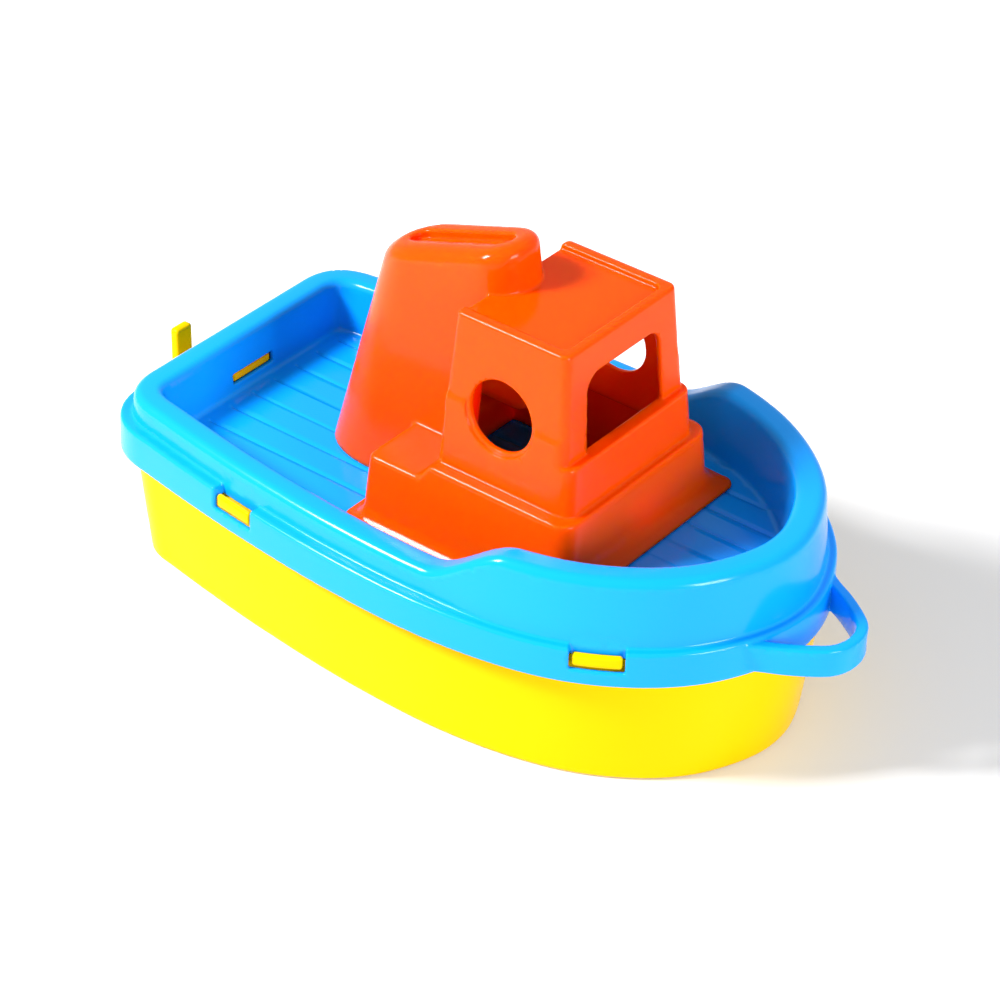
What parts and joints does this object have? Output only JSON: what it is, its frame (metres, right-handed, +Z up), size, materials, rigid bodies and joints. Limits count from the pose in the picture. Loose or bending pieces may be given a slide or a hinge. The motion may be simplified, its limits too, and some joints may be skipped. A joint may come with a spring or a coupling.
{
  "type": "toy boat",
  "caption": "Plastic toy tow boat: a tub hull under a railed deck with a tow loop, a tow hook, and a snap-in cabin with a raked funnel.",
  "frame": {"origin": "on the surface the boat stands on, midway between the tow hook's aft face and the tow loop's tip, on the middle line", "axes": "+X to the bow, +Y to port, +Z up"},
  "size_m": [0.2972, 0.1546, 0.1524],
  "materials": {
    "yellow_plastic": "moulded gloss",
    "blue_plastic": "moulded gloss",
    "orange_plastic": "moulded gloss"
  },
  "bodies": {
    "root": {"Hull": "yellow_plastic", "Deck": "blue_plastic", "Superstructure": "orange_plastic"}
  },
  "joints": []
}
